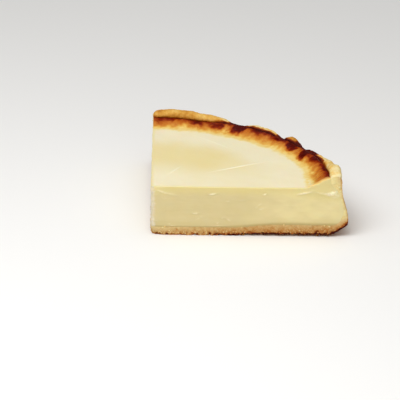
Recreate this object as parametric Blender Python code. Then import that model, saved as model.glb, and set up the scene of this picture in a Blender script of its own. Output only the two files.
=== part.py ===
"""A quarter of a round baked cheesecake: a shortcrust case with a crimped rim, filled with set cheese custard.

Metres, +Z up. The cake's own centre is the tip of the wedge. One cut face runs along +X and faces -Y,
and the other is WEDGE_ANGLE further round. The finished slice is moved so that the origin lies on the
board, under the middle of its box.
"""

import math

import bmesh
import bpy
from mathutils import Vector, noise

# Driving dimensions
CAKE_RADIUS = 0.130  # at the belly of the case, its widest part
WEDGE_ANGLE = math.radians(91.3)
TIP_RADIUS = 0.0025  # the knife leaves the tip slightly blunt
CHEESE_HEIGHT = 0.0345  # flat top of the cheese above the board
CHEESE_EDGE_HEIGHT = 0.0389  # where the puffed, browned edge meets the rim
RIM_HEIGHT = 0.0330  # the lowest that the rim would be between its lobes
GAP = 0.0003  # between case and cheese

# The case's side
BELLY_HEIGHT = 0.012
BELLY_DEPTH = 0.0048  # how far the belly stands out beyond the rim
BELLY_SPREAD = 0.013
WALL_THICKNESS = 0.0020  # at mid height, where the dough was pressed thinnest
RIM_EXTRA = 0.0058  # thicker by this at the rim
RIM_FROM, RIM_TO = 0.028, 0.041
FOOT_EXTRA = 0.0040  # and by this near the base
FOOT_FROM, FOOT_TO = 0.020, 0.009
CREST_DEPTH = 0.0034  # height of the rounded top of the rim
CREST_ROUNDNESS = 0.75  # 1 for an ellipse, and squarer below that
LUMP_HEIGHT = 0.0004  # uneven outside of the pastry
LUMP_SIZE = 0.012

# The case's base
FLAT_RADIUS = 0.117  # beyond this the underside lifts off the board
LIFT_HEIGHT = 0.009
LIFT_POWER = 1.3
BASE_THICKNESS = 0.0060
BASE_EXTRA = 0.0023  # the base is thicker under the outer half
BASE_FROM, BASE_TO = 0.055, 0.080
CORNER_RADIUS, CORNER_HEIGHT = 0.118, 0.013  # centre of the fillet from base to side

# The cheese's browned edge
EDGE_FROM, EDGE_TO = 0.1035, 0.1172
SHOULDER_DROP = 0.0007

# Humps along the rim and the cheese's edge: position and half width in degrees, rise in metres
RIM_LOBES = (
    (0, 0.0020, 3), (5.3, 0.0125, 7.7), (17, 0.0061, 6.1), (25.8, 0.0037, 4.7), (30.9, 0.0025, 2.7),
    (39.8, 0.0072, 3.9), (48.8, 0.0044, 3.3), (55, 0.0064, 5), (68.6, 0.0033, 6.4), (84, 0.0103, 15.8),
    (91.6, -0.0024, 0.8),
)
EDGE_HUMPS = (
    (0, 0.0034, 8), (22, 0.0006, 7), (34.5, -0.0010, 3), (44.5, -0.0012, 3), (75, -0.0015, 7), (88, -0.0005, 4),
)

# Mesh density
SLICES = 66
BASE_RINGS = 7
CORNER_STEPS = 4
WALL_STEPS = 7
CREST_STEPS = 6
LIFT_STEPS = 5
TOP_RINGS = 9


def ease(value, start, end):
    """0 before start, 1 after end, and a smooth S between them."""
    t = min(1.0, max(0.0, (value - start) / (end - start)))
    return t * t * (3 - 2 * t)


def humps(angle, table):
    """The sum of the humps in table at this angle round the cake."""
    degrees = math.degrees(angle)
    return sum(rise * math.exp(-(((degrees - at) / width) ** 2)) for at, rise, width in table)


def steps(start, end, count):
    """count + 1 evenly spaced values from start to end."""
    return [start + (end - start) * i / count for i in range(count + 1)]


def rim_height(angle):
    return RIM_HEIGHT + humps(angle, RIM_LOBES)


def edge_height(angle):
    return CHEESE_EDGE_HEIGHT + humps(angle, EDGE_HUMPS)


def side_radius(height):
    """The case's outside as a smooth belly, before its lumps."""
    belly = math.exp(-(((height - BELLY_HEIGHT) / BELLY_SPREAD) ** 2))
    return CAKE_RADIUS - BELLY_DEPTH * (1 - belly)


def lump(angle, height):
    """Uneven dough: 0 at both cut faces, so that they keep the measured outline."""
    place = Vector((CAKE_RADIUS * math.cos(angle), CAKE_RADIUS * math.sin(angle), height)) / LUMP_SIZE
    return LUMP_HEIGHT * noise.noise(place) * math.sin(math.pi * angle / WEDGE_ANGLE)


def inner_radius(height):
    rim = RIM_EXTRA * ease(height, RIM_FROM, RIM_TO)
    foot = FOOT_EXTRA * ease(-height, -FOOT_FROM, -FOOT_TO)
    return side_radius(height) - WALL_THICKNESS - rim - foot


def base_top(radius):
    return BASE_THICKNESS + BASE_EXTRA * ease(radius, BASE_FROM, BASE_TO)


def tip_distance(angle):
    """How far the blunt tip lies from the cake's centre, in this direction."""
    centre = TIP_RADIUS / math.tan(WEDGE_ANGLE / 2)
    along = centre * math.cos(angle) + TIP_RADIUS * math.sin(angle)
    return along - math.sqrt(max(0.0, along**2 - centre**2))


def corner(gap):
    """The fillet from the case's inner side down to its base, set in by gap."""
    width = inner_radius(CORNER_HEIGHT) - CORNER_RADIUS - gap
    depth = CORNER_HEIGHT - base_top(CORNER_RADIUS) - gap
    return [
        (CORNER_RADIUS + width * math.cos(turn), CORNER_HEIGHT - depth * math.sin(turn))
        for turn in steps(0, math.pi / 2, CORNER_STEPS)
    ]


def base_line(angle, gap):
    """The top of the base from the tip outwards, stopping short of the fillet."""
    radii = steps(tip_distance(angle), CORNER_RADIUS, BASE_RINGS)[:-1]
    return [(radius, base_top(radius) + gap) for radius in radii]


def case_outline(angle):
    """The case's section at this angle, as (radius, height): underside, outside, crest, inside and base."""
    lifted = [
        (radius, LIFT_HEIGHT * ((radius - FLAT_RADIUS) / (CAKE_RADIUS - FLAT_RADIUS)) ** LIFT_POWER)
        for radius in steps(FLAT_RADIUS, side_radius(LIFT_HEIGHT), LIFT_STEPS)
    ]
    shoulder = rim_height(angle) - CREST_DEPTH
    outside = [
        (side_radius(height) + lump(angle, height), height)
        for height in steps(lifted[-1][1], shoulder, WALL_STEPS)[1:]
    ]
    outer, inner = outside[-1][0], inner_radius(shoulder)
    middle, half = (outer + inner) / 2, (outer - inner) / 2
    crest = [
        (
            middle + half * math.copysign(abs(math.cos(turn)) ** CREST_ROUNDNESS, math.cos(turn)),
            shoulder + CREST_DEPTH * math.sin(turn) ** CREST_ROUNDNESS,
        )
        for turn in steps(0, math.pi, CREST_STEPS)[1:-1]
    ]
    inside = [(inner_radius(height), height) for height in steps(shoulder, CORNER_HEIGHT, WALL_STEPS)[:-1]]
    underside = [(tip_distance(angle), 0.0)]
    return underside + lifted + outside + crest + inside + corner(0) + base_line(angle, 0)[::-1]


def cheese_top(radius, angle):
    rise = edge_height(angle) - CHEESE_HEIGHT
    return CHEESE_HEIGHT + rise * ease(radius, EDGE_FROM, EDGE_TO)


def cheese_outline(angle):
    """The cheese's section at this angle, as (radius, height): base, fillet, side and top."""
    shoulder = edge_height(angle) - SHOULDER_DROP
    side = [(inner_radius(height) - GAP, height) for height in steps(CORNER_HEIGHT, shoulder, WALL_STEPS)[1:]]
    browned = steps(EDGE_TO, EDGE_FROM, TOP_RINGS // 2)
    flat = steps(EDGE_FROM, tip_distance(angle), TOP_RINGS // 2)[1:]
    top = [(radius, cheese_top(radius, angle)) for radius in browned + flat]
    return base_line(angle, GAP) + corner(GAP)[::-1] + side + top


def swept_solid(name, outline, colour, roughness):
    """One closed solid: the outline turned round the cake's centre, with a flat cut face at each end."""
    mesh = bpy.data.meshes.new(name)
    shape = bmesh.new()
    rings = []
    for angle in steps(0, WEDGE_ANGLE, SLICES):
        spoke = Vector((math.cos(angle), math.sin(angle), 0))
        rings.append([shape.verts.new(spoke * r + Vector((0, 0, z))) for r, z in outline(angle)])
    for ring, following in zip(rings, rings[1:]):
        for i, vertex in enumerate(ring):
            shape.faces.new((vertex, following[i], following[i - 1], ring[i - 1]))
    shape.faces.new(rings[0])
    shape.faces.new(rings[-1][::-1])
    bmesh.ops.recalc_face_normals(shape, faces=shape.faces)
    shape.to_mesh(mesh)
    shape.free()
    mesh.shade_smooth()
    mesh.set_sharp_from_angle(angle=math.radians(40))
    mesh.materials.append(baked_material(name, colour, roughness))
    solid = bpy.data.objects.new(name, mesh)
    bpy.context.scene.collection.objects.link(solid)
    return solid


def baked_material(name, colour, roughness):
    material = bpy.data.materials.new(name)
    material.use_nodes = True
    surface = material.node_tree.nodes["Principled BSDF"]
    surface.inputs["Base Color"].default_value = (*colour, 1)
    surface.inputs["Roughness"].default_value = roughness
    surface.inputs["Metallic"].default_value = 0.0
    return material


def centre_on_board(solids):
    """Moves the slice so that the middle of its footprint's box is at the origin."""
    corners = [vertex.co for solid in solids for vertex in solid.data.vertices]
    low = Vector(min(corner[axis] for corner in corners) for axis in range(3))
    high = Vector(max(corner[axis] for corner in corners) for axis in range(3))
    shift = Vector((-(low.x + high.x) / 2, -(low.y + high.y) / 2, -low.z))
    for solid in solids:
        solid.location = shift


def build_cheesecake():
    for old in list(bpy.data.objects):
        bpy.data.objects.remove(old)
    case = swept_solid("pastry_case", case_outline, (0.62, 0.38, 0.13), 0.8)
    cheese = swept_solid("cheese_filling", cheese_outline, (0.83, 0.72, 0.42), 0.45)
    centre_on_board([case, cheese])


build_cheesecake()
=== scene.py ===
"""The looks of a quarter of a baked cheesecake: custard with a browned edge, in a crimped shortcrust case.

Metres, +Z up. Shapes are worked out round the cake's own centre, which is the tip of the wedge, and are
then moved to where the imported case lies. The front cut runs along +X and faces -Y, and the other cut is
WEDGE_ANGLE further round.
"""

import math

import bmesh
import bpy
from mathutils import Matrix, Vector


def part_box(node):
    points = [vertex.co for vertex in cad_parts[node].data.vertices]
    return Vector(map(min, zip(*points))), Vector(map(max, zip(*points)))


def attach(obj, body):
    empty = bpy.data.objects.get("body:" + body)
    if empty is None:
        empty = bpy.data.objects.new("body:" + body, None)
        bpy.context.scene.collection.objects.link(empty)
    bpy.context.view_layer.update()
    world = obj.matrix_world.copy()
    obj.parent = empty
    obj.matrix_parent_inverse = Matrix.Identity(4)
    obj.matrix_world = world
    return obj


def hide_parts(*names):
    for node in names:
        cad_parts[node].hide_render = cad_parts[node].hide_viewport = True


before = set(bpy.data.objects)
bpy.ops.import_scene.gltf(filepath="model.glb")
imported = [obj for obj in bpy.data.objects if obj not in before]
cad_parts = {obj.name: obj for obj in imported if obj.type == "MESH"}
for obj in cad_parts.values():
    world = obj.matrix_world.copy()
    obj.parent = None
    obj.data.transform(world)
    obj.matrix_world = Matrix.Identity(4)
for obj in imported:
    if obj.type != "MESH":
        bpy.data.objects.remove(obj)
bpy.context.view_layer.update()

MM = 0.001

# Driving dimensions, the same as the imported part's
CAKE_RADIUS = 0.130
WEDGE_ANGLE = math.radians(91.3)
TIP_RADIUS = 0.0025
CHEESE_HEIGHT = 0.0345
CHEESE_EDGE_HEIGHT = 0.0389
RIM_HEIGHT = 0.0330
BELLY_HEIGHT, BELLY_DEPTH, BELLY_SPREAD = 0.012, 0.0048, 0.013
WALL_THICKNESS = 0.0020
RIM_EXTRA, RIM_FROM, RIM_TO = 0.0058, 0.028, 0.041
FOOT_EXTRA, FOOT_FROM, FOOT_TO = 0.0040, 0.020, 0.009
CREST_DEPTH, CREST_ROUNDNESS = 0.0034, 0.75
FLAT_RADIUS, LIFT_HEIGHT, LIFT_POWER = 0.117, 0.009, 1.3
BASE_THICKNESS, BASE_EXTRA, BASE_FROM, BASE_TO = 0.0060, 0.0023, 0.055, 0.080
CORNER_RADIUS, CORNER_HEIGHT = 0.118, 0.013
EDGE_FROM, EDGE_TO = 0.1035, 0.1172
SHOULDER_DROP = 0.0007

# Humps along the rim and the custard's edge: position and half width in degrees, rise in metres
RIM_LOBES = (
    (0, 0.002, 3), (5.3, 0.0125, 7.7), (17, 0.0061, 6.1), (25.8, 0.0037, 4.7), (30.9, 0.0025, 2.7),
    (39.8, 0.0072, 3.9), (48.8, 0.0044, 3.3), (55, 0.0064, 5), (68.6, 0.0033, 6.4), (84, 0.0103, 15.8),
    (91.6, -0.0024, 0.8),
)
EDGE_HUMPS = (
    (0, 0.0034, 8), (22, 0.0006, 7), (34.5, -0.001, 3), (44.5, -0.0012, 3), (75, -0.0015, 7),
    (88, -0.0005, 4),
)

FULL_HEIGHT = 0.050  # heights are looked up in curves as a share of this
OVERLAP = 0.00012  # the custard sits this far into the pastry, as it set there
LID_EDGE = 0.0006  # the custard's top edge is rounded over this width where the knife went in
TINY = 0.0001  # tells a block's faces from what lies between them
SHARP_ANGLE = math.radians(50)  # edges that turn more than this stay crisp
FULL_TURN = 6.28  # radians
CUSTARD_FACES, CASE_FACES = 0.68, 0.42  # the share left once hidden faces are thinned out

# By the front cut the puffed edge rises in two overlapping steps, the second one up to the rim
FIRST_RISE, FIRST_FROM, FIRST_TO = 0.36, 0.098, 0.108
SECOND_RISE, SECOND_FROM = 0.50, 0.106
NEAR_FRONT = 0.09  # this stretch of the way round, from 0 to 1

# The camera stands DISTANCE back from FROM and aims at AIM: shares of the cake's radius, from its centre
ELEVATION, AZIMUTH, ROLL = 22.92, 0.76, -0.45  # degrees
DISTANCE, FROM, AIM = 11, (0.25, 0, 0.15), (0.249, 0, 0.194)
LENS = 195.75  # mm

# Lights: place from MIDDLE, size in metres and power in watts. MIDDLE is taken from the cake's centre
MIDDLE = (0.05, 0.04, 0.02)
LIGHTS = (("key", (-0.27, -0.40, 0.76), 0.7, 5.2), ("fill", (0.15, -1.05, 0.32), 0.8, 2.0))
ROOM_GLOW = (0.42, 0.95, 0.04, 0.98)  # from the first height to the second: dim, then bright
FLOOR_SIZE = 8

# Colours of the baked skin by how far out it lies, in mm, before SCORCHES and LEAN are added to that. The
# near-black colours at the rim are partly baking and partly painted shade of the groove against the crust
SKIN_COLOURS = (
    (99, "#F2E6BA"), (101, "#F0DFA2"), (103, "#EED78C"), (104.5, "#ECD083"), (106, "#E7C26C"),
    (107, "#E0B056"), (108, "#D69C44"), (109, "#CC8634"), (110.5, "#C37429"), (112, "#B7621E"),
    (113, "#A85014"), (114, "#963D0C"), (115, "#822504"), (116, "#6E1502"), (117, "#5A0B02"),
    (119, "#4C0702"),
)
# Where the edge caught in the oven, or stayed paler: degrees round, mm out, half width in degrees, half
# depth in mm, slope, and how much further out its colour would lie, in mm
SCORCHES = (
    (89, 112, 2, 2.6, 0, 2), (86, 115.8, 2.5, 2.2, 0, 2), (75, 114.2, 3.2, 2.4, 0, 3.2),
    (68, 113.4, 3, 3, 0.2, 4.2), (60.3, 113.6, 2.7, 4.6, 0, 7), (52, 115.5, 2.6, 2.6, 0, 2.8),
    (42, 116, 4, 2.4, 0, 2.8), (35.3, 114.8, 2.6, 4.2, 0.3, 6.5), (27, 113.6, 2.6, 4.8, 0, 7.5),
    (20.5, 114.5, 3.4, 3.2, 0, 4.4), (12, 116.5, 4, 1.6, 0, 2), (64, 112, 1.5, 2.6, 0, -2),
    (80, 111.5, 2.5, 2.2, 0, -1.6), (46, 112, 3, 2.6, 0, -0.8), (11, 112, 4.5, 2.2, 0, -1.8),
    (4, 105.3, 5.5, 1.9, 0, -2.8),
)

# From the front cut (0) round to the other (1): how much further out the skin's colour would lie, in mm,
LEAN = (
    (0, -0.6), (0.07, -0.1), (0.13, -1), (0.18, -2.6), (0.35, -2.9), (0.5, -1.8), (0.68, -1.4), (0.8, -1.8),
    (1, -1.6),
)
# how much more or less the rim is baked,
CREST_BAKE = (
    (0, -0.2), (0.25, -0.18), (0.3, 0), (0.4, 0.1), (0.427, 0.17), (0.46, 0.05), (0.49, -0.16), (0.6, -0.26),
    (0.66, -0.21), (0.72, -0.2), (0.79, -0.12), (0.84, 0.02), (0.87, 0.1), (0.9, 0.04), (1, 0.06),
)
# where its top burnt dark,
CREST_BURNS = (
    (0, 0), (0.27, 0), (0.29, 1), (0.405, 1), (0.425, 0), (0.455, 0), (0.47, 1), (0.505, 1), (0.525, 0),
    (0.63, 0), (0.655, 1), (0.705, 1), (0.73, 0), (1, 0),
)
# and how thickly baked custard clings to its inside, which also sets the painted groove shade there
CLINGING = ((0, 0), (0.015, 0), (0.05, 0.75), (0.17, 0.6), (0.23, 1), (0.7, 1), (0.78, 0.72), (1, 0.72))

# What the knife left on each cut: mm along the face, mm up, half length, half height, slope, and mm raised,
# or sunk where that is below 0
FRONT_DRAGS = (
    (6.8, 31.1, 3.6, 0.8, -0.34, 0.6), (13.5, 29.2, 5.2, 1, -0.2, 0.34), (40.4, 29.5, 2.2, 0.8, 0.22, 0.8),
    (41.2, 27.4, 1.6, 0.7, 0.3, 0.4), (74.9, 30, 1.7, 0.8, 0.35, 0.8), (71.5, 22.4, 1.4, 0.8, 0.4, 0.42),
    (69.6, 20.4, 0.9, 0.8, 0.5, 0.42), (73, 19.4, 1.8, 0.7, 0.3, 0.4), (29.3, 15.6, 1.7, 0.8, 0.1, 0.6),
    (31.4, 12, 2.6, 1.2, 0.5, 0.3), (32.2, 14.6, 0.7, 1.6, 0, -0.35), (34, 13.4, 1, 1.8, 0, 0.22),
    (47.8, 13, 1.3, 0.9, 0.5, 0.45), (51, 11.4, 1.8, 1, -0.5, 0.42), (44, 9.2, 0.9, 1.1, 0, 0.55),
    (50.6, 24.5, 2.2, 0.6, 0, 0.3), (12, 7.9, 1.3, 0.6, 0, 0.6), (85.5, 15.6, 1.2, 0.6, 0.2, 0.36),
    (101, 31, 5.5, 0.8, 0.2, 0.75), (112, 31, 3.6, 1, -0.2, 0.42), (119, 31, 5.5, 1.3, 0.22, 0.7),
    (120, 32.2, 6, 2.4, 0.2, 0.26), (121.5, 29.6, 4.5, 2.4, 0.1, 0.42), (2.4, 22.3, 1.8, 0.5, 0, 0.5),
    (9, 25.7, 2, 0.5, 0, 0.34), (3, 29, 2.4, 1.4, 0, 0.26), (9, 17.5, 3.5, 0.4, 0.1, 0.24),
    (60, 25.5, 7, 0.5, 0.03, 0.2), (92, 22, 8, 0.5, -0.04, 0.2), (12.5, 6.8, 4.6, 0.35, 0, 0.5),
    (45.5, 7, 9, 0.35, 0, 0.36), (23, 9.8, 5, 0.4, 0.08, 0.16), (3.2, 10.5, 1.6, 0.7, -0.4, 0.4),
    (57, 15.5, 1.4, 0.8, 0.6, 0.2), (42.6, 28.4, 1.6, 0.6, 0.25, -0.4), (76.6, 30.3, 1.2, 0.5, 0.2, -0.4),
    (71, 31.2, 0.8, 0.4, 0, -0.35), (115, 29.9, 5, 0.6, 0.1, -0.25), (73.6, 21.2, 1, 0.5, 0.4, -0.3),
    (48.6, 11.2, 1.2, 0.9, 0, -0.25),
)
BACK_DRAGS = (
    (9, 30.2, 4.5, 0.7, -0.2, 0.5), (33, 28.6, 3.4, 0.6, 0.1, 0.45), (52, 18.5, 2, 0.8, 0.3, 0.4),
    (66, 30.3, 5.5, 0.7, 0.05, 0.5), (81, 13.5, 1.8, 0.7, -0.3, 0.4), (95, 27, 4, 0.6, 0.2, 0.45),
    (24, 12, 1.6, 0.6, 0.2, 0.35), (108, 29.5, 6, 0.8, -0.1, 0.55), (44, 24.5, 6, 0.5, 0, 0.2),
)
# Holes in the cut pastry, in the same terms, with mm sunk; the shader also darkens them as painted shade
FRONT_PITS = (
    (4, 0.5, 2.2, 0.75, -0.1, 1.2), (10.6, 0.6, 0.8, 0.7, -0.3, 1.2), (15.2, 0.3, 0.4, 0.4, 0, 0.8),
    (17.2, 3.9, 0.8, 0.6, -0.3, 0.6), (17.9, 0.2, 0.7, 0.6, 0, 1.2), (18.4, 2.9, 0.4, 0.5, 0, 0.5),
    (34.9, 1.9, 0.4, 0.5, 0, 0.6), (38.6, 0.8, 1.6, 0.8, 0, 0.8), (48.5, 0.2, 3.6, 0.4, 0, 1.3),
    (61.5, 0.3, 4.2, 0.5, 0, 1.3), (65.2, 2.8, 0.6, 0.5, 0, 0.6), (68.8, 0.4, 0.5, 0.8, 0, 1),
    (73, 0.3, 1.6, 0.5, 0.3, 0.9), (80.6, 1, 0.9, 1.2, 0, 1.1), (90.9, 2.5, 0.7, 0.4, 0, 0.6),
    (94.7, 4.2, 0.5, 0.4, 0, 0.5), (96.4, 2.7, 0.6, 0.5, 0, 0.6), (93, 0.3, 4.5, 0.4, 0, 1.2),
    (104.4, 0.7, 0.8, 0.8, 0, 1.4), (109.8, 3.6, 1.4, 0.9, 0.3, 0.6), (116.6, 0.3, 1.2, 0.4, 0, 1),
    (119.7, 2.8, 0.6, 0.7, 0, 1.1), (124.6, 5.2, 1.2, 0.6, 0.5, 0.5), (124.9, 42, 0.6, 0.9, 0, 1),
)
BACK_PITS = (
    (8, 0.8, 1.6, 0.8, 0, 1.3), (22, 3.2, 0.8, 0.6, 0.2, 0.7), (36, 0.4, 2.6, 0.5, 0, 1.2),
    (57, 2.4, 1, 0.7, 0, 0.8), (71, 0.5, 3, 0.5, 0, 1.2), (86, 4.1, 0.9, 0.6, 0, 0.6),
    (99, 0.8, 1.2, 1, 0, 1.3), (113, 3, 0.9, 0.7, 0, 0.8),
)
# Creases in the flat top: both ends in mm from the cake's centre, half width, mm raised
TOP_CREASES = (
    ((40.5, 27.5), (74, 45.5), 1, 0.3), ((10.5, 20.5), (19, 35.5), 0.8, 0.18),
    ((56, 66), (30, 92), 0.9, 0.1),
)

# Kinds of node and their commonest settings
MATH = "ShaderNodeMath"
VECTOR = "ShaderNodeVectorMath"
RANGE = "ShaderNodeMapRange"
MIX = "ShaderNodeMix"
CURVE = "ShaderNodeFloatCurve"
RAMP = "ShaderNodeValToRGB"
NOISE = "ShaderNodeTexNoise"
RANDOM = "FunctionNodeRandomValue"
SPLIT = "ShaderNodeSeparateXYZ"
JOIN = "ShaderNodeCombineXYZ"
PLACE = "GeometryNodeInputPosition"
MOVE = "GeometryNodeSetPosition"
STORE = "GeometryNodeStoreNamedAttribute"
READ = "GeometryNodeInputNamedAttribute"
SUM = {"operation": "ADD"}
DIFFERENCE = {"operation": "SUBTRACT"}
PRODUCT = {"operation": "MULTIPLY"}
SOFT = {"interpolation_type": "SMOOTHSTEP"}
FLOAT = {"data_type": "FLOAT"}
COLOUR = {"data_type": "RGBA"}


def ease(value, start, end):
    """0 before start, 1 after end, and a smooth S between them."""
    t = min(1.0, max(0.0, (value - start) / (end - start)))
    return t * t * (3 - 2 * t)


def humps(degrees, table):
    """The sum of the humps in table, each given as place, rise and half width."""
    return sum(rise * math.exp(-(((degrees - at) / width) ** 2)) for at, rise, width in table)


def side_radius(height):
    return CAKE_RADIUS - BELLY_DEPTH * (1 - math.exp(-(((height - BELLY_HEIGHT) / BELLY_SPREAD) ** 2)))


def outer_radius(height):
    """The case's outside, with its underside lifting off the board."""
    lift = FLAT_RADIUS + (CAKE_RADIUS - FLAT_RADIUS) * (max(height, 0) / LIFT_HEIGHT) ** (1 / LIFT_POWER)
    return min(lift, side_radius(height))


def inner_radius(height):
    """The case's inside, with the fillet down to its base."""
    if height < CORNER_HEIGHT:
        depth = CORNER_HEIGHT - BASE_THICKNESS - BASE_EXTRA
        fall = min(1.0, (CORNER_HEIGHT - height) / depth)
        return CORNER_RADIUS + (inner_radius(CORNER_HEIGHT) - CORNER_RADIUS) * math.sqrt(1 - fall**2)
    rim = RIM_EXTRA * ease(height, RIM_FROM, RIM_TO)
    foot = FOOT_EXTRA * ease(-height, -FOOT_FROM, -FOOT_TO)
    return side_radius(height) - WALL_THICKNESS - rim - foot


CUSTARD_RADIUS = inner_radius(CHEESE_EDGE_HEIGHT)


def tip_distance(turn):
    """How far the blunt tip lies from the cake's centre, at this share of the way round."""
    angle = turn * WEDGE_ANGLE
    centre = TIP_RADIUS / math.tan(WEDGE_ANGLE / 2)
    along = centre * math.cos(angle) + TIP_RADIUS * math.sin(angle)
    return along - math.sqrt(max(0.0, along**2 - centre**2))


def rim_shoulder(turn):
    return RIM_HEIGHT + humps(turn * math.degrees(WEDGE_ANGLE), RIM_LOBES) - CREST_DEPTH


def edge_height(turn):
    return CHEESE_EDGE_HEIGHT + humps(turn * math.degrees(WEDGE_ANGLE), EDGE_HUMPS)


def swell_share(reach):
    """How far the custard has puffed up at this share of the way out: all the way just inside the rim."""
    radius = reach * CUSTARD_RADIUS
    drop = SHOULDER_DROP / (CHEESE_EDGE_HEIGHT - CHEESE_HEIGHT)
    return ease(radius, EDGE_FROM, EDGE_TO) - drop * ease(radius, EDGE_TO, CUSTARD_RADIUS)


def front_swell_share(reach):
    """The same at the front cut, where the puffed edge starts further in and rises more evenly."""
    radius = reach * CUSTARD_RADIUS
    second = SECOND_RISE * ease(radius, SECOND_FROM, CUSTARD_RADIUS)
    return FIRST_RISE * ease(radius, FIRST_FROM, FIRST_TO) + second


def crest_across(share):
    """How far through the dough a point lies on the rounded crest, at this share of its arc."""
    cosine = math.cos(math.pi * share)
    return 0.5 - 0.5 * math.copysign(abs(cosine) ** CREST_ROUNDNESS, cosine)


def crest_rise(share):
    return math.sin(math.pi * min(share, 1 - share)) ** CREST_ROUNDNESS


def shares(function, count=64, scale=1.0):
    """Points of a curve from 0 to 1 that looks up this function of its share of scale."""
    return [(i / count, function(scale * i / count)) for i in range(count + 1)]


def linear(colour):
    """An sRGB hex colour as linear RGBA."""
    parts = (int(colour[i : i + 2], 16) / 255 for i in (1, 3, 5))
    return (*(c / 12.92 if c <= 0.04045 else ((c + 0.055) / 1.055) ** 2.4 for c in parts), 1.0)


def add(tree, kind, inputs=(), points=(), **settings):
    """Adds a node with its settings and links. inputs are numbers, hex colours, nodes or sockets, by name
    or in order, and any left over go into a further node of the same kind, so that a sum takes any number
    of them. points shape a curve, or are the places and colours of a ramp."""
    node = tree.nodes.new(kind)
    for setting, value in settings.items():
        setattr(node, setting, value)
    sockets = [socket for socket in node.inputs if socket.enabled]
    if isinstance(inputs, dict):
        sockets = [next(socket for socket in sockets if socket.name == name) for name in inputs]
        inputs = tuple(inputs.values())
    for socket, value in zip(sockets, inputs):
        if isinstance(value, bpy.types.Node):
            value = next(output for output in value.outputs if output.enabled)
        if isinstance(value, bpy.types.NodeSocket):
            tree.links.new(value, socket)
        else:
            socket.default_value = linear(value) if socket.type == "RGBA" else value
    if kind == CURVE:
        line = node.mapping.curves[0].points
        for i, place in enumerate(points):
            point = line[i] if i < 2 else line.new(*place)
            point.location = place
        node.mapping.use_clip = False
        node.mapping.update()
    elif kind == RAMP:
        stops = node.color_ramp.elements
        for i, (at, colour) in enumerate(points):
            stop = stops[i] if i < 2 else stops.new(at)
            stop.position, stop.color = at, linear(colour)
    left_over = inputs[len(sockets):]
    return add(tree, kind, (node, *left_over), **settings) if left_over else node


def grain(tree, place, size, low, high, detail=2.0, stretch=(1, 1, 1)):
    """Noise with features this far apart, mostly between low and high, longer along an axis by stretch."""
    scaled = add(tree, VECTOR, (place, tuple(1 / (size * s) for s in stretch)), **PRODUCT)
    noise = add(tree, NOISE, {"Vector": scaled, "Scale": 1.0, "Detail": detail})
    return add(tree, RANGE, (noise, 0.25, 0.75, low, high), clamp=False)


def grain_where(tree, share, place, size, low, high, **settings):
    """The same noise, as strong as share."""
    return add(tree, MATH, (share, grain(tree, place, size, low, high, **settings)), **PRODUCT)


def marks(tree, table, along, up, core=0.0, fade=1.6):
    """Soft-edged marks. A row of table is a place along and up, half length, half height, slope and
    strength, which is full out to core and gone at fade, both as shares of the half length and height."""
    result = 0.0
    for at, height, length, depth, slope, strength in table:
        away = add(tree, MATH, (along, at), **DIFFERENCE)
        level = add(tree, MATH, (away, slope, height), operation="MULTIPLY_ADD")
        above = add(tree, MATH, (up, level), **DIFFERENCE)
        offset = add(tree, JOIN, (away, above, 0.0))
        scaled = add(tree, VECTOR, (offset, (1 / length, 1 / depth, 0)), **PRODUCT)
        far = add(tree, VECTOR, (scaled,), operation="LENGTH")
        mark = add(tree, RANGE, (far, core, fade, strength, 0.0), **SOFT)
        result = add(tree, MATH, (result, mark), **SUM)
    return result


def marks_by_cut(tree, turn, front, back, radius, place):
    """The front cut's marks on the half of the slice next to it, and the other cut's on the far half."""
    height = add(tree, SPLIT, (place,)).outputs["Z"]
    along, up = (add(tree, MATH, (field, 1 / MM), **PRODUCT) for field in (radius, height))
    near = add(tree, MATH, (turn, 0.5), operation="LESS_THAN")
    return add(tree, MIX, (near, marks(tree, back, along, up), marks(tree, front, along, up)), **FLOAT)


def creases(tree, table, place):
    """Raised lines on the flat top, from a table in mm."""
    result = 0.0
    for start, end, width, rise in table:
        way = Vector(end) - Vector(start)
        across = Vector((-way.y, way.x)).normalized() / (width * MM)
        middle = (Vector(start) + Vector(end)) / 2 * MM
        along = way / (way.length_squared / 2 * MM)
        away = add(tree, VECTOR, (place, (*middle, 0)), **DIFFERENCE)
        side = add(tree, VECTOR, (away, (*across, 0)), operation="DOT_PRODUCT")
        ahead = add(tree, VECTOR, (away, (*along, 0)), operation="DOT_PRODUCT")
        far = add(tree, VECTOR, (add(tree, JOIN, (side, ahead, 0.0)),), operation="LENGTH")
        ridge = add(tree, RANGE, (far, 0.0, 1.5, rise, 0.0), **SOFT)
        result = add(tree, MATH, (result, ridge), **SUM)
    return result


def layered(tree, colour, layers):
    """The colour with others laid over it, each given after the share that it covers."""
    for share, layer in layers:
        colour = add(tree, MIX, (share, colour, layer), **COLOUR)
    return colour


def new_tree(name, sizes):
    """A Geometry Nodes tree with an input for each size, and its input node's sockets."""
    tree = bpy.data.node_groups.new(name, "GeometryNodeTree")
    tree.interface.new_socket("Mesh", in_out="INPUT", socket_type="NodeSocketGeometry")
    for size, value in sizes.items():
        kind = "NodeSocketInt" if isinstance(value, int) else "NodeSocketFloat"
        tree.interface.new_socket(size, in_out="INPUT", socket_type=kind)
    tree.interface.new_socket("Mesh", in_out="OUTPUT", socket_type="NodeSocketGeometry")
    return tree, add(tree, "NodeGroupInput").outputs


def end_tree(tree, shape, material):
    whole = add(tree, "GeometryNodeRealizeInstances", (shape,))
    painted = add(tree, "GeometryNodeSetMaterial", {"Geometry": whole, "Material": material})
    add(tree, "NodeGroupOutput", (painted,))
    return tree


def plain(piece):
    """The same piece as a plain mesh, its modifiers applied and gone."""
    graph = bpy.context.evaluated_depsgraph_get()
    mesh = bpy.data.meshes.new_from_object(
        piece.evaluated_get(graph), preserve_all_data_layers=True, depsgraph=graph
    )
    name = piece.name
    bpy.data.objects.remove(piece)
    result = bpy.data.objects.new(name, mesh)
    bpy.context.scene.collection.objects.link(result)
    return result


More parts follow.
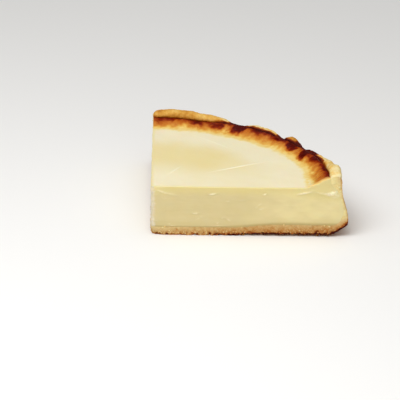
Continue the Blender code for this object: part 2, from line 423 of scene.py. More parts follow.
def grow(name, tree, sizes, start=None):
    """What the tree makes, as a plain mesh. start is the piece whose mesh goes in, if it needs one."""
    seed = bpy.data.objects.new(name, start.data.copy() if start else bpy.data.meshes.new(name))
    bpy.context.scene.collection.objects.link(seed)
    modifier = seed.modifiers.new("grow", "NODES")
    modifier.node_group = tree
    for socket in tree.interface.items_tree:
        if socket.in_out == "INPUT" and socket.name in sizes:
            modifier[socket.identifier] = sizes[socket.name]
    return plain(seed)


def thinned(piece, share):
    """The piece with this share of its faces, the rest taken from where its hidden attribute is 1."""
    group = piece.vertex_groups.new(name="hidden")
    hidden = piece.data.attributes["hidden"].data
    group.add([i for i, point in enumerate(hidden) if point.value > 0.5], 1.0, "REPLACE")
    modifier = piece.modifiers.new("thin", "DECIMATE")
    modifier.ratio = share
    modifier.vertex_group = group.name
    return plain(piece)


def finished(piece, centre):
    """Closes a block that was left open below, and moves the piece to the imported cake's centre."""
    shape = bmesh.new()
    shape.from_mesh(piece.data)
    edges = [edge for edge in shape.edges if edge.is_boundary]
    bmesh.ops.holes_fill(shape, edges=edges)
    shape.to_mesh(piece.data)
    shape.free()
    piece.data.transform(Matrix.Translation(centre))
    piece.data.shade_smooth()
    piece.data.set_sharp_from_angle(angle=SHARP_ANGLE)


def block(tree, size):
    """A closed block of small faces from 0 to 1 along each axis: its mesh, and its three coordinates."""
    counts = {"Vertices " + axis: size["Steps " + way] for axis, way in zip("XYZ", ("Out", "Round", "Up"))}
    cube = add(tree, "GeometryNodeMeshCube", {"Size": (1, 1, 1), **counts})
    place = add(tree, VECTOR, (add(tree, PLACE), (0.5, 0.5, 0.5)), **SUM)
    return cube, add(tree, SPLIT, (place,)).outputs


def cut_ends(tree, out, turn):
    """1 on both cut faces and on the blunt tip, and 0 between."""
    middle = add(tree, MATH, (turn, 0.5, 0.5 - TINY), operation="COMPARE")
    beyond_tip = add(tree, MATH, (out, TINY), operation="GREATER_THAN")
    return add(tree, MATH, (1.0, add(tree, MATH, (middle, beyond_tip), **PRODUCT)), **DIFFERENCE)


def from_cut(tree, turn, radius):
    """How far round a point lies from the nearer cut face, in metres."""
    other = add(tree, MATH, (1.0, turn), **DIFFERENCE)
    nearer = add(tree, MATH, (turn, other), operation="MINIMUM")
    return add(tree, MATH, (nearer, radius, WEDGE_ANGLE), **PRODUCT)


def base_top(tree, size, radius):
    """The height of the base's top, which is thicker under the outer half."""
    thickness = (size["Base Thickness"], size["Thick Base"])
    return add(tree, RANGE, (radius, size["Base From"], size["Base To"], *thickness), **SOFT)


def bent(tree, shape, radius, height, angle, attributes):
    """The shape with its attributes stored and each point moved to this radius and height, turned by this
    angle round the cake's centre. Returns it, and the attributes, place and radius as read from it."""
    for name, value in attributes.items():
        shape = add(tree, STORE, {"Geometry": shape, "Name": name, "Value": value})
    flat = add(tree, JOIN, (radius, 0.0, height))
    place = add(tree, "ShaderNodeVectorRotate", {"Vector": flat, "Angle": angle}, rotation_type="Z_AXIS")
    shape = add(tree, MOVE, {"Geometry": shape, "Position": place})
    read = {name: add(tree, READ, {"Name": name}, **FLOAT) for name in attributes}
    place = add(tree, PLACE)
    level = add(tree, VECTOR, (place, (1, 1, 0)), **PRODUCT)
    return shape, read, place, add(tree, VECTOR, (level,), operation="LENGTH")


def raised(tree, shape, height):
    """Moves the surface out along its normals by this height."""
    normal = add(tree, "GeometryNodeInputNormal")
    offset = add(tree, VECTOR, {"Vector": normal, "Scale": height}, operation="SCALE")
    return add(tree, MOVE, {"Geometry": shape, "Offset": offset})


def custard_tree(sizes, material):
    """A block bent round the cake's centre, flat but for its puffed edge, then marked by the knife."""
    tree, size = new_tree("turned_custard", sizes)
    cube, (out, turn, up) = block(tree, size)
    angle = add(tree, MATH, (turn, size["Wedge Angle"]), **PRODUCT)
    # More faces where the edge is browned and wrinkled
    reach = add(tree, CURVE, {"Value": out}, points=((0, 0), (0.60, 0.845), (1, 1)))
    nominal = add(tree, MATH, (reach, size["Custard Radius"]), **PRODUCT)
    inset = from_cut(tree, turn, nominal)
    near_front = add(tree, RANGE, (turn, 0.0, NEAR_FRONT, 1.0, 0.0), **SOFT)
    swell, front_swell = (
        add(tree, CURVE, {"Value": reach}, points=shares(function, 100))
        for function in (swell_share, front_swell_share)
    )
    swell = add(tree, MIX, (near_front, swell, front_swell), **FLOAT)
    puffed = add(tree, CURVE, {"Value": turn}, points=shares(edge_height, 91))
    puff = add(tree, MATH, (puffed, size["Custard Height"]), **DIFFERENCE)
    rounding = add(tree, RANGE, (inset, 0, LID_EDGE, -0.5 * LID_EDGE, 0), interpolation_type="SMOOTHERSTEP")
    top = add(tree, MATH, (puff, swell, size["Custard Height"]), operation="MULTIPLY_ADD")
    top = add(tree, MATH, (top, rounding), **SUM)
    bottom = base_top(tree, size, nominal)
    height = add(tree, MIX, (up, bottom, top), **FLOAT)
    share = add(tree, MATH, (height, FULL_HEIGHT), operation="DIVIDE")
    side = add(tree, CURVE, {"Value": share}, points=shares(inner_radius, 100, FULL_HEIGHT))
    side = add(tree, MATH, (side, OVERLAP), **SUM)
    tip = add(tree, CURVE, {"Value": turn}, points=shares(tip_distance))
    radius = add(tree, MIX, (reach, tip, side), **FLOAT)

    # The underside goes now, and is closed with one face once the piece is finished
    under = add(tree, MATH, (up, TINY), operation="LESS_THAN")
    cube = add(tree, "GeometryNodeDeleteGeometry", {"Geometry": cube, "Selection": under}, domain="FACE")
    # Faces can go from behind the case's wall, and from the tip, where they crowd together
    at_wall = add(tree, MATH, (out, 1 - TINY), operation="GREATER_THAN")
    below_rim = add(tree, MATH, (height, 0.030), operation="LESS_THAN")
    crowded = add(tree, MATH, (radius, 0.009), operation="LESS_THAN")
    behind = add(tree, MATH, (at_wall, below_rim), **PRODUCT)
    shape, read, place, radius = bent(
        tree, cube, radius, height, angle,
        {
            "cut": cut_ends(tree, out, turn), "turn": turn, "inset": inset,
            "lid": add(tree, MATH, (up, 1 - TINY), operation="GREATER_THAN"),
            "above_base": add(tree, MATH, (height, bottom), **DIFFERENCE),
            "hidden": add(tree, MATH, (behind, crowded), operation="MAXIMUM"),
        },
    )
    cut, lid, turn = read["cut"], read["lid"], read["turn"]
    dragged = marks_by_cut(tree, turn, FRONT_DRAGS, BACK_DRAGS, radius, place)
    # The ridges break up along their length
    broken = grain(tree, place, 1.6 * MM, 0.2, 1.1)
    smear = add(tree, MATH, (dragged, cut, broken), **PRODUCT)
    crease = add(tree, MATH, (creases(tree, TOP_CREASES, place), lid), **PRODUCT)
    # How far out the skin's colour lies, in mm
    out_mm = add(tree, MATH, (radius, 1 / MM), **PRODUCT)
    degrees = add(tree, MATH, (turn, math.degrees(WEDGE_ANGLE)), **PRODUCT)
    ragged = add(tree, MATH, (out_mm, grain(tree, place, 3.6 * MM, -1.4, 1.4, detail=1)), **SUM)
    skewed = add(tree, MATH, (degrees, grain(tree, place, 4.3 * MM, -1.3, 1.3, detail=1)), **SUM)
    scorched = marks(tree, SCORCHES, skewed, ragged, core=0.40, fade=1.35)
    lean = add(tree, CURVE, {"Value": turn}, points=LEAN)
    wide, fine = grain(tree, place, 11 * MM, -1.1, 1.1), grain(tree, place, 2.8 * MM, -0.9, 0.9, detail=0)
    browning = add(tree, MATH, (out_mm, scorched, lean, wide, fine), **SUM)
    for name, value in {"smear": smear, "crease": crease, "browning": browning}.items():
        shape = add(tree, STORE, {"Geometry": shape, "Name": name, "Value": value})

    skin = add(tree, MATH, (1.0, cut), **DIFFERENCE)
    edge = add(tree, RANGE, (radius, 0.106, 0.113, 0.0, 1.0), **SOFT)
    blistered = add(tree, MATH, (edge, skin), **PRODUCT)
    tip = add(tree, RANGE, (radius, 0.0028, 0.0052, 1.0, 0.0), **SOFT)
    ragged_tip = add(tree, MATH, (tip, cut), **PRODUCT)
    relief = add(
        tree, MATH,
        (
            smear, crease,
            grain_where(tree, blistered, place, 4.0 * MM, -0.40, 0.45),
            grain_where(tree, blistered, place, 1.7 * MM, -0.12, 0.20),
            grain_where(tree, lid, place, 26 * MM, -0.18, 0.18),
            grain_where(tree, cut, place, 9 * MM, -0.12, 0.12),
            grain_where(tree, cut, place, 1.8 * MM, -0.07, 0.07, stretch=(5, 5, 1)),
            grain_where(tree, ragged_tip, place, 1.2 * MM, -0.28, 0.28, stretch=(3, 3, 1)),
        ),
        **SUM,
    )
    return end_tree(tree, raised(tree, shape, add(tree, MATH, (relief, MM), **PRODUCT)), material)


def case_tree(sizes, material):
    """A block bent into the case's L and round the cake's centre. It runs from 0 to 1 out along the base
    and up the wall, round the cake, and through the dough from its outside to its inside."""
    tree, size = new_tree("turned_case", sizes)
    cube, (out, turn, inward) = block(tree, size)
    angle = add(tree, MATH, (turn, size["Wedge Angle"]), **PRODUCT)
    through = add(tree, CURVE, {"Value": inward}, points=shares(crest_across, 40))
    floor = add(tree, RANGE, (out, 0.0, size["Base Share"], 0.0, 1.0))
    wall = add(tree, RANGE, (out, size["Base Share"], 1.0, 0.0, 1.0))
    tip = add(tree, CURVE, {"Value": turn}, points=shares(tip_distance))
    shoulder = add(tree, CURVE, {"Value": turn}, points=shares(rim_shoulder, 91))
    edge = add(tree, CURVE, {"Value": turn}, points=shares(edge_height, 91))

    inside = add(tree, MIX, (floor, tip, size["Corner Radius"]), **FLOAT)
    inside_height = add(tree, MIX, (wall, base_top(tree, size, inside), shoulder), **FLOAT)
    share = add(tree, MATH, (inside_height, FULL_HEIGHT), operation="DIVIDE")
    spread = shares(lambda height: inner_radius(height) - CORNER_RADIUS, 100, FULL_HEIGHT)
    inside = add(tree, MATH, (inside, add(tree, CURVE, {"Value": share}, points=spread)), **SUM)
    outside = add(tree, MIX, (floor, tip, size["Flat Radius"]), **FLOAT)
    outside_height = add(tree, MATH, (wall, shoulder), **PRODUCT)
    share = add(tree, MATH, (outside_height, FULL_HEIGHT), operation="DIVIDE")
    spread = shares(lambda height: outer_radius(height) - FLAT_RADIUS, 100, FULL_HEIGHT)
    outside = add(tree, MATH, (outside, add(tree, CURVE, {"Value": share}, points=spread)), **SUM)
    radius = add(tree, MIX, (through, outside, inside), **FLOAT)
    height = add(tree, MIX, (through, outside_height, inside_height), **FLOAT)
    at_crest = add(tree, MATH, (out, 1 - TINY), operation="GREATER_THAN")
    dome = add(tree, CURVE, {"Value": inward}, points=shares(crest_rise, 40))
    dome = add(tree, MATH, (dome, at_crest, size["Crest Depth"]), **PRODUCT)
    height = add(tree, MATH, (height, dome), **SUM)

    cut = cut_ends(tree, out, turn)
    above_edge = add(tree, MATH, (height, edge), **DIFFERENCE)
    # Baked custard clings to the inside of the rim, above the custard's edge, and the rim burnt in places.
    # Right at the custard's edge that darkening is also painted shade of the groove between them
    low = add(tree, RANGE, (above_edge, -0.0003, 0.0028, 1.0, 0.0))
    inmost = add(tree, RANGE, (through, 0.45, 0.95, 0.0, 1.0), **SOFT)
    thickness = add(tree, CURVE, {"Value": turn}, points=CLINGING)
    clung_and_groove_shade = add(tree, MATH, (low, inmost, thickness), **PRODUCT)
    high = add(tree, RANGE, (out, 0.965, 0.99, 0.0, 1.0))
    inner = add(tree, RANGE, (through, 0.16, 0.34, 0.0, 1.0), **SOFT)
    places = add(tree, CURVE, {"Value": turn}, points=CREST_BURNS)
    burnt = add(tree, MATH, (places, high, inner), **PRODUCT)
    film_burn_and_shade = add(tree, MATH, (clung_and_groove_shade, burnt), operation="MAXIMUM")
    # Faces can go from the inside, behind the custard, and from the underside
    behind = add(tree, MATH, (through, 0.97), operation="GREATER_THAN")
    below_rim = add(tree, MATH, (height, 0.033), operation="LESS_THAN")
    under = add(tree, MATH, (outside_height, TINY), operation="LESS_THAN")
    at_bottom = add(tree, MATH, (through, 0.01), operation="LESS_THAN")
    inside_hidden = add(tree, MATH, (behind, below_rim), **PRODUCT)
    bottom_hidden = add(tree, MATH, (under, at_bottom), **PRODUCT)
    unseen = add(tree, MATH, (inside_hidden, bottom_hidden), operation="MAXIMUM")
    wall_foot = add(tree, MATH, (size["Base Share"], 0.05), **SUM)
    shape, read, place, radius = bent(
        tree, cube, radius, height, angle,
        {
            "cut": cut, "turn": turn, "depth": through, "film_burn_and_shade": film_burn_and_shade, "inset": from_cut(tree, turn, radius),
            "crest": add(tree, RANGE, (out, 0.86, 1.0, 0.0, 1.0)),
            "base": add(tree, RANGE, (out, size["Base Share"], wall_foot, 1.0, 0.0)),
            "hidden": add(tree, MATH, (unseen, add(tree, MATH, (1.0, cut), **DIFFERENCE)), **PRODUCT),
        },
    )
    cut, turn, depth, crest, base = (read[name] for name in ("cut", "turn", "depth", "crest", "base"))
    pits = marks_by_cut(tree, turn, FRONT_PITS, BACK_PITS, radius, place)
    pit = add(tree, MATH, (pits, cut), **PRODUCT)
    shape = add(tree, STORE, {"Geometry": shape, "Name": "pit", "Value": pit})
    shown = add(tree, MATH, (1.0, read["hidden"]), **DIFFERENCE)
    relief = add(
        tree, MATH,
        (
            grain(tree, place, 7 * MM, -0.17, 0.17), grain(tree, place, 1.9 * MM, -0.10, 0.10),
            grain_where(tree, cut, place, 1.4 * MM, -0.25, 0.22, detail=3),
            grain_where(tree, cut, place, 3.6 * MM, -0.15, 0.15),
            add(tree, MATH, (cut, base, grain(tree, place, 2.2 * MM, -0.35, 0.25, detail=3)), **PRODUCT),
            grain_where(tree, crest, place, 5.5 * MM, -0.32, 0.32),
            grain_where(tree, crest, place, 2.1 * MM, -0.15, 0.15),
            add(tree, MATH, (pit, -1.0), **PRODUCT),
        ),
        **SUM,
    )
    shape = raised(tree, shape, add(tree, MATH, (relief, shown, MM), **PRODUCT))

    # The base's lower edge has crumbled away in places, and the tip of the base is worn back
    place = add(tree, PLACE)
    x, y, z = add(tree, SPLIT, (place,)).outputs
    low = add(tree, RANGE, (depth, 0.0, 0.35, 1.0, 0.0))
    by_cut = add(tree, RANGE, (read["inset"], 0.0, 0.0040, 1.0, 0.0), **SOFT)
    further = add(
        tree, CURVE, {"Value": radius},
        points=((0, -0.5), (0.010, -0.4), (0.020, 0), (0.050, 0.05), (0.065, 0.35)),
    )
    loose = add(tree, MATH, (grain(tree, place, 3.4 * MM, -0.5, 0.5), further), **SUM)
    crumbled = add(tree, RANGE, (loose, 0.0, 0.40, 0.0, 1.3 * MM), **SOFT)
    lifted = add(tree, MATH, (crumbled, by_cut, low, base), **PRODUCT)
    level = add(tree, MATH, (add(tree, MATH, (z, lifted), **SUM), 0.02 * MM), operation="MAXIMUM")
    from_tip = add(tree, VECTOR, (place,), operation="LENGTH")
    at_tip = add(tree, RANGE, (from_tip, 0.0025, 0.0090, 0.9 * MM, 0.0), **SOFT)
    low = add(tree, RANGE, (z, 0.0008, 0.0052, 1.0, 0.0), **SOFT)
    worn = add(tree, MATH, (at_tip, low), **PRODUCT)
    x, y = (add(tree, MATH, (axis, worn), **SUM) for axis in (x, y))
    shape = add(tree, MOVE, {"Geometry": shape, "Position": add(tree, JOIN, (x, y, level))})
    return end_tree(tree, shape, material)


def crumb_tree(sizes, material):
    """Loose grains of dough on the cut faces of the case, thickest low down."""
    tree, size = new_tree("scattered_crumbs", sizes)
    cut, depth, base = (add(tree, READ, {"Name": name}, **FLOAT) for name in ("cut", "depth", "base"))
    on_cut = add(tree, RANGE, (cut, 0.9, 1.0, 0.0, 1.0))
    outside = add(tree, RANGE, (depth, 0.10, 0.55, 1.3, 0.06))
    low = add(tree, MATH, (base, 0.2), **SUM)
    density = add(tree, MATH, (on_cut, outside, low, size["Crumbs per Square Metre"]), **PRODUCT)
    points = add(
        tree, "GeometryNodeDistributePointsOnFaces", {"Mesh": size["Mesh"], "Density": density, "Seed": 7}
    )
    shade = add(tree, RANDOM, {"Seed": 3}, **FLOAT)
    points = add(tree, STORE, {"Geometry": points, "Name": "tint", "Value": shade})
    ball = add(tree, "GeometryNodeMeshIcoSphere", {"Radius": size["Crumb Radius"], "Subdivisions": 1})
    spin = add(tree, RANDOM, {"Max": (FULL_TURN,) * 3, "Seed": 5}, data_type="FLOAT_VECTOR")
    spread = add(tree, RANDOM, {"Seed": 11}, **FLOAT)
    few_large = add(tree, RANGE, (add(tree, MATH, (spread, 3.0), operation="POWER"), 0.0, 1.0, 0.35, 1.25))
    scattered = add(
        tree, "GeometryNodeInstanceOnPoints",
        {"Points": points, "Instance": ball, "Rotation": spin, "Scale": few_large},
    )
    shape = add(tree, "GeometryNodeRealizeInstances", (scattered,))
    shape = raised(tree, shape, grain(tree, add(tree, PLACE), 0.8 * MM, -0.14 * MM, 0.14 * MM))
    x, y, z = add(tree, SPLIT, (add(tree, PLACE),)).outputs
    level = add(tree, MATH, (z, 0.03 * MM), operation="MAXIMUM")
    shape = add(tree, MOVE, {"Geometry": shape, "Position": add(tree, JOIN, (x, y, level))})
    return end_tree(tree, shape, material)


def new_material(name):
    material = bpy.data.materials.new(name)
    material.use_nodes = True
    return material, material.node_tree, material.node_tree.nodes["Principled BSDF"]


def finish_surface(tree, surface, links, values):
    """Links the shader's sockets and sets those that are the same all over."""
    for name, source in links.items():
        output = next(output for output in source.outputs if output.enabled)
        tree.links.new(output, surface.inputs[name])
    for name, value in values.items():
        surface.inputs[name].default_value = value


def round_centre(tree, centre):
    """Where a point is, from the cake's centre: its place, radius, turn from 0 to 1, and height."""
    here = add(tree, "ShaderNodeTexCoord").outputs["Object"]
    place = add(tree, "ShaderNodeMapping", {"Vector": here, "Location": -centre})
    x, y, height = add(tree, SPLIT, (place,)).outputs
    level = add(tree, VECTOR, (place, (1, 1, 0)), **PRODUCT)
    angle = add(tree, MATH, (y, x), operation="ARCTAN2")
    turn = add(tree, MATH, (angle, WEDGE_ANGLE), operation="DIVIDE")
    return place, add(tree, VECTOR, (level,), operation="LENGTH"), turn, height


def baked_custard(centre):
    """Cream cheese, egg and cream set in the oven: dense, moist and faintly see-through, so light goes a
    little way in and softens the knife's marks. Its skin turns from ivory to gold, then to a mahogany with
    a low, uneven sheen."""
    material, tree, surface = new_material("baked_custard")
    place, radius, turn, height = round_centre(tree, centre)
    cut, lid, inset, smear, crease, above_base, browning = (
        add(tree, "ShaderNodeAttribute", attribute_name=name).outputs["Fac"]
        for name in ("cut", "lid", "inset", "smear", "crease", "above_base", "browning")
    )
    # The flat top: ivory, warmer in a wide patch towards the far side
    out_here = add(tree, MATH, (radius, grain(tree, place, 0.030, -0.006, 0.006)), **SUM)
    turn_here = add(tree, MATH, (turn, grain(tree, place, 0.035, -0.10, 0.10)), **SUM)
    off_tip = add(tree, RANGE, (radius, 0.018, 0.055, 0.0, 1.0), **SOFT)
    off_edge = add(tree, RANGE, (out_here, 0.066, 0.090, 1.0, 0.0), **SOFT)
    far = add(tree, RANGE, (turn_here, 0.10, 0.52, 0.15, 1.0), **SOFT)
    patch = add(tree, MATH, (off_tip, off_edge, far), **PRODUCT)
    top = layered(
        tree, "#F1E7C6",
        (
            (patch, "#EAD89C"), (grain(tree, place, 0.014, 0.0, 0.35), "#EDDFB0"),
            (add(tree, RANGE, (crease, 0.0, 0.25, 0.0, 0.8)), "#FAF2D6"),
            (add(tree, RANGE, (inset, 0.0, 0.0025, 0.8, 0.0), **SOFT), "#E6D8A0"),
        ),
    )
    # The cut: cream, a little deeper towards the rim and greyer low down, under a yellow skin
    out_here = add(tree, MATH, (radius, grain(tree, place, 0.02, -0.008, 0.008)), **SUM)
    seam_height = add(tree, RANGE, (radius, 0.040, 0.060, 0.0011, 0.0026), **SOFT)
    rise = add(tree, RANGE, (radius, 0.092, 0.112, 0.0, 0.0035), **SOFT)
    skin_level = add(tree, MATH, (height, grain(tree, place, 0.009, -0.0009, 0.0009), rise), **SUM)
    body = layered(
        tree, "#DFCF9C",
        (
            (add(tree, RANGE, (out_here, 0.055, 0.100, 0.0, 1.0), **SOFT), "#EEDFA8"),
            (grain(tree, place, 0.007, -0.15, 0.45, stretch=(2, 2, 1)), "#D8C791"),
            (add(tree, RANGE, (above_base, 0.0, 0.0065, 0.50, 0.0), **SOFT), "#D3C18A"),
            (add(tree, RANGE, (above_base, 0.0, seam_height, 0.68, 0.0), **SOFT), "#B59C5C"),
            (add(tree, RANGE, (skin_level, 0.0270, 0.0330, 0.0, 0.85), **SOFT), "#E4D494"),
            (add(tree, RANGE, (smear, 0.03, 0.60, 0.0, 0.90), **SOFT), "#FBEFCC"),
        ),
    )
    # Painted highlight: the blunt tip of the cut is painted paler and greyer for the light it catches from
    # the left
    tip = add(tree, MATH, (radius, grain(tree, place, 0.0016, -0.0010, 0.0010, stretch=(2, 2, 1))), **SUM)
    at_tip = add(tree, RANGE, (tip, 0.0010, 0.0036, 0.75, 0.0), **SOFT)
    custard = layered(tree, top, ((cut, body), (at_tip, "#E2D6C0")))
    # The browned edge, near-black at the rim partly as painted shade of the groove against the crust
    first, last = SKIN_COLOURS[0][0], SKIN_COLOURS[-1][0]
    here = add(tree, MATH, (browning, grain(tree, place, 0.0013, -0.45, 0.45, detail=3)), **SUM)
    crust = add(
        tree, RAMP, (add(tree, RANGE, (here, first, last, 0.0, 1.0)),),
        points=[((at - first) / (last - first), colour) for at, colour in SKIN_COLOURS],
    )
    brown = add(tree, RANGE, (here, 99.5, 104.0, 0.0, 1.0), **SOFT)
    browned = add(tree, MATH, (brown, add(tree, MATH, (1.0, cut), **DIFFERENCE)), **PRODUCT)
    aside = add(tree, MATH, (browned, add(tree, RANGE, (lid, 0.0, 0.8, 0.65, 0.0))), **PRODUCT)
    near_front = add(tree, MATH, (turn, 0.5), operation="LESS_THAN")
    by_cut = add(tree, RANGE, (inset, 0.0005, 0.0052, 0.95, 0.0), **SOFT)
    wiped = add(tree, MATH, (by_cut, near_front), **PRODUCT)
    crust = layered(tree, crust, ((aside, "#A0602A"), (wiped, "#EFC878")))
    colour = add(tree, MIX, (browned, custard, crust), **COLOUR)
    fine = grain(tree, place, 0.0011, 0.0, 0.03 * MM)
    coarse = grain_where(tree, browned, place, 0.0014, 0.0, 0.16 * MM)
    relief = add(tree, MATH, (fine, coarse), **SUM)
    gloss = grain_where(tree, browned, place, 0.006, 0.4, 1.2)
    finish_surface(
        tree, surface,
        {
            "Base Color": colour,
            "Normal": add(tree, "ShaderNodeBump", {"Height": relief, "Strength": 0.7, "Distance": 1.0}),
            "Roughness": add(tree, RANGE, (browned, 0.0, 1.0, 0.48, 0.33)),
            "Subsurface Weight": add(tree, RANGE, (browned, 0.0, 0.8, 0.5, 0.03)),
            "Specular IOR Level": add(tree, RANGE, (gloss, 0.0, 1.1, 0.25, 0.02)),
        },
        {"IOR": 1.40, "Subsurface Radius": (1.0, 0.75, 0.45), "Subsurface Scale": 0.0020},
    )
    return material


def shortcrust(centre):
    """Butter shortcrust, pressed in by hand and baked: dry and sandy, golden where the oven reached it,
    deep brown underneath, with a crumbly cut that is tan above and brown below. Its holes carry painted
    shade, and the cut's lower edge painted shadow from the gap under the base."""
    material, tree, surface = new_material("shortcrust")
    place, radius, turn, height = round_centre(tree, centre)
    cut, inset, depth, crest, film_burn_and_shade, pit, tint = (
        add(tree, "ShaderNodeAttribute", attribute_name=name).outputs["Fac"]
        for name in ("cut", "inset", "depth", "crest", "film_burn_and_shade", "pit", "tint")
    )
    fine = grain(tree, place, 0.0012, -0.06, 0.06, detail=3)
    sandy = add(tree, MATH, (fine, grain(tree, place, 0.0034, -0.05, 0.05)), **SUM)
    # On the cut: browner towards the outside of the dough, most of all in the base away from the tip, where
    # the dark lower edge is partly baking and partly painted shadow of the gap under the base
    through = add(tree, MATH, (depth, grain(tree, place, 0.0022, -0.14, 0.14, detail=3)), **SUM)
    base_bake = add(
        tree, CURVE, {"Value": through},
        points=((0, 0.74), (0.14, 0.64), (0.40, 0.53), (0.70, 0.43), (1, 0.38)),
    )
    outward = add(
        tree, CURVE, {"Value": radius},
        points=(
            (0, -0.12), (0.010, -0.08), (0.018, -0.03), (0.040, 0.01), (0.060, 0.08), (0.100, 0.07),
            (0.115, 0.12), (0.130, 0.12),
        ),
    )
    wall_bake = add(tree, CURVE, {"Value": through}, points=((0, 0.48), (0.2, 0.28), (0.6, 0.14), (1, 0.11)))
    corner = add(tree, RANGE, (height, 0.005, 0.017, 1.0, 0.0), **SOFT)
    # Dark lower edge of the base's cut: partly baking, partly painted shadow of the gap under it
    low_edge_bake_and_shadow = add(tree, RANGE, (through, 0.06, 0.38, 0.46, 0.0), **SOFT)
    off_tip = add(tree, RANGE, (radius, 0.038, 0.056, 0.05, 1.0), **SOFT)
    scorched = add(tree, MATH, (low_edge_bake_and_shadow, off_tip), **PRODUCT)
    base_level = add(tree, MATH, (base_bake, outward, scorched), **SUM)
    bake = add(tree, MIX, (corner, wall_bake, base_level), **FLOAT)
    outer = add(tree, RANGE, (depth, 0.15, 0.60, 1.0, 0.25), **SOFT)
    lumps = add(tree, MATH, (corner, grain(tree, place, 0.0023, -0.20, 0.20, detail=3), outer), **PRODUCT)
    # Painted shade in the pits and gaps of the cut
    painted_pit_shade = add(tree, MATH, (pit, 0.45), **PRODUCT)
    lighter = add(tree, MATH, (tint, -0.24), **PRODUCT)
    bake = add(tree, MATH, (bake, sandy, lumps, painted_pit_shade, lighter), **SUM)
    crumb = add(
        tree, RAMP, (bake,),
        points=(
            (0.0, "#F1E4AC"), (0.15, "#EBD695"), (0.30, "#DDC189"), (0.42, "#D2AF73"), (0.52, "#C7985A"),
            (0.62, "#B87C3E"), (0.72, "#A35E26"), (0.84, "#803A12"), (0.93, "#5C1A06"), (1.0, "#430D03"),
        ),
    )
    # The skin: gold up the wall, browner in patches on the crest, dark underneath
    skin_bake = add(
        tree, MATH,
        (
            0.40, sandy, grain(tree, place, 0.012, -0.08, 0.08), grain(tree, place, 0.034, -0.06, 0.06),
            add(tree, MATH, (crest, add(tree, CURVE, {"Value": turn}, points=CREST_BAKE)), **PRODUCT),
            grain_where(tree, crest, place, 0.005, -0.12, 0.13),
            add(tree, RANGE, (height, 0.001, 0.011, 0.36, 0.0), **SOFT),
            add(tree, RANGE, (inset, 0.0, 0.004, -0.18, 0.0)),
        ),
        **SUM,
    )
    skin = add(
        tree, RAMP, (skin_bake,),
        points=(
            (0.0, "#F0E2AE"), (0.15, "#ECD596"), (0.28, "#E6BB66"), (0.38, "#DCA850"), (0.50, "#CC8F38"),
            (0.62, "#B0752B"), (0.76, "#87481A"), (0.90, "#5E2109"), (1.0, "#3F0D03"),
        ),
    )
    colour = add(tree, MIX, (cut, skin, crumb), **COLOUR)
    # Baked custard clings to the rim's inside, darkest at the custard's edge, where it is also painted shade
    # of the groove
    stuck = add(tree, MATH, (film_burn_and_shade, grain(tree, place, 0.003, -0.15, 0.15)), **SUM)
    glaze = add(
        tree, RAMP, (stuck,),
        points=((0.0, "#D9A040"), (0.40, "#C27A22"), (0.70, "#8A3408"), (1.0, "#4C0A03")),
    )
    clings = add(tree, RANGE, (stuck, 0.12, 0.50, 0.0, 1.0), **SOFT)
    clings = add(tree, MATH, (clings, add(tree, RANGE, (cut, 0.5, 1.0, 1.0, 0.0))), **PRODUCT)
    colour = add(tree, MIX, (clings, colour, glaze), **COLOUR)
    fine = grain(tree, place, 0.0009, 0.0, 0.11 * MM, detail=3)
    relief = add(tree, MATH, (fine, grain(tree, place, 0.0028, 0.0, 0.15 * MM)), **SUM)
    bump = add(tree, "ShaderNodeBump", {"Height": relief, "Strength": 0.8, "Distance": 1.0})
    finish_surface(
        tree, surface, {"Base Color": colour, "Normal": bump},
        {
            "Roughness": 0.72, "IOR": 1.45, "Specular IOR Level": 0.15, "Subsurface Weight": 0.12,
            "Subsurface Radius": (1.0, 0.6, 0.3), "Subsurface Scale": 0.001,
        },
    )
    return material


def build_pieces(centre):
    shared_sizes = {"Wedge Angle": WEDGE_ANGLE, "Base From": BASE_FROM, "Base To": BASE_TO}
    custard_sizes = {
        **shared_sizes, "Custard Radius": CUSTARD_RADIUS, "Custard Height": CHEESE_HEIGHT,
        "Base Thickness": BASE_THICKNESS - OVERLAP, "Thick Base": BASE_THICKNESS + BASE_EXTRA - OVERLAP,
        "Steps Out": 150, "Steps Round": 360, "Steps Up": 66,
    }
    custard = grow("cheese", custard_tree(custard_sizes, baked_custard(centre)), custard_sizes)
    custard = thinned(custard, CUSTARD_FACES)
    finished(custard, centre)

    case_sizes = {
        **shared_sizes, "Corner Radius": CORNER_RADIUS, "Flat Radius": FLAT_RADIUS,
        "Base Thickness": BASE_THICKNESS, "Thick Base": BASE_THICKNESS + BASE_EXTRA,
        "Crest Depth": CREST_DEPTH, "Base Share": 0.62,
        "Steps Out": 280, "Steps Round": 300, "Steps Up": 20,
    }
    pastry = shortcrust(centre)
    case = grow("pastry", case_tree(case_sizes, pastry), case_sizes)
    crumb_sizes = {"Crumbs per Square Metre": 1.2e6, "Crumb Radius": 0.6 * MM}
    crumbs = grow("crust_crumbs", crumb_tree(crumb_sizes, pastry), crumb_sizes, case)
    case = thinned(case, CASE_FACES)
    finished(case, centre)
    crumbs.data.transform(Matrix.Translation(centre))

    for piece in (custard, case, crumbs):
        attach(piece, "root")
    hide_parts("cheese_filling")
    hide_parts("pastry_case")


def soft_light(name, place, target, size, power):
    light = bpy.data.lights.new(name, "AREA")
    light.shape = "DISK"
    light.size = size
    light.energy = power
    lamp = bpy.data.objects.new(name, light)
    bpy.context.scene.collection.objects.link(lamp)
    lamp.location = place
    lamp.rotation_euler = (target - place).to_track_quat("-Z", "Y").to_euler()


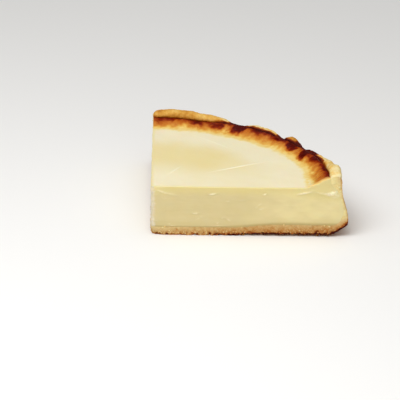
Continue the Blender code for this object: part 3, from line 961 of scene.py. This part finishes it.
def build_studio(centre):
    """A large soft light above to the left, a weaker one in front, a pale floor, and a pale room that is
    dim low down, so that the browned skin keeps its depth."""
    scene = bpy.context.scene
    scene.view_settings.view_transform = "Standard"
    world = bpy.data.worlds.new("studio")
    world.use_nodes = True
    room = world.node_tree
    background = room.nodes["Background"]
    background.inputs["Color"].default_value = linear("#FBFBFA")
    up = add(room, SPLIT, (add(room, "ShaderNodeTexCoord").outputs["Generated"],)).outputs["Z"]
    glow = add(room, RANGE, (up, *ROOM_GLOW))
    room.links.new(glow.outputs["Result"], background.inputs["Strength"])
    scene.world = world
    middle = centre + Vector(MIDDLE)
    for name, place, size, power in LIGHTS:
        soft_light(name, middle + Vector(place), middle, size, power)

    bpy.ops.mesh.primitive_plane_add(size=FLOOR_SIZE)
    floor = bpy.context.object
    floor.name = "table"
    material, tree, surface = new_material("matt_white_board")
    values = {"Base Color": linear("#F4F3F1"), "Roughness": 0.9, "Specular IOR Level": 0.2}
    finish_surface(tree, surface, {}, values)
    floor.data.materials.append(material)


def build_camera(centre):
    """A long lens about 1.4 m away, 23 degrees above the board and almost square on to the front cut."""
    elevation, azimuth, roll = (math.radians(angle) for angle in (ELEVATION, AZIMUTH, ROLL))
    level = math.cos(elevation)
    back = Vector((math.sin(azimuth) * level, -math.cos(azimuth) * level, math.sin(elevation)))
    place = centre + Vector(FROM) * CAKE_RADIUS + DISTANCE * CAKE_RADIUS * back
    target = centre + Vector(AIM) * CAKE_RADIUS
    camera = bpy.data.objects.new("camera", bpy.data.cameras.new("camera"))
    bpy.context.scene.collection.objects.link(camera)
    camera.data.lens = LENS
    camera.data.clip_start, camera.data.clip_end = 0.05, 50
    turn = (target - place).to_track_quat("-Z", "Y").to_matrix() @ Matrix.Rotation(-roll, 3, "Z")
    camera.matrix_world = Matrix.Translation(place) @ turn.to_4x4()
    bpy.context.scene.camera = camera


low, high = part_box("pastry_case")
cake_centre = Vector((high.x - CAKE_RADIUS, low.y, low.z))
build_pieces(cake_centre)
build_studio(cake_centre)
build_camera(cake_centre)
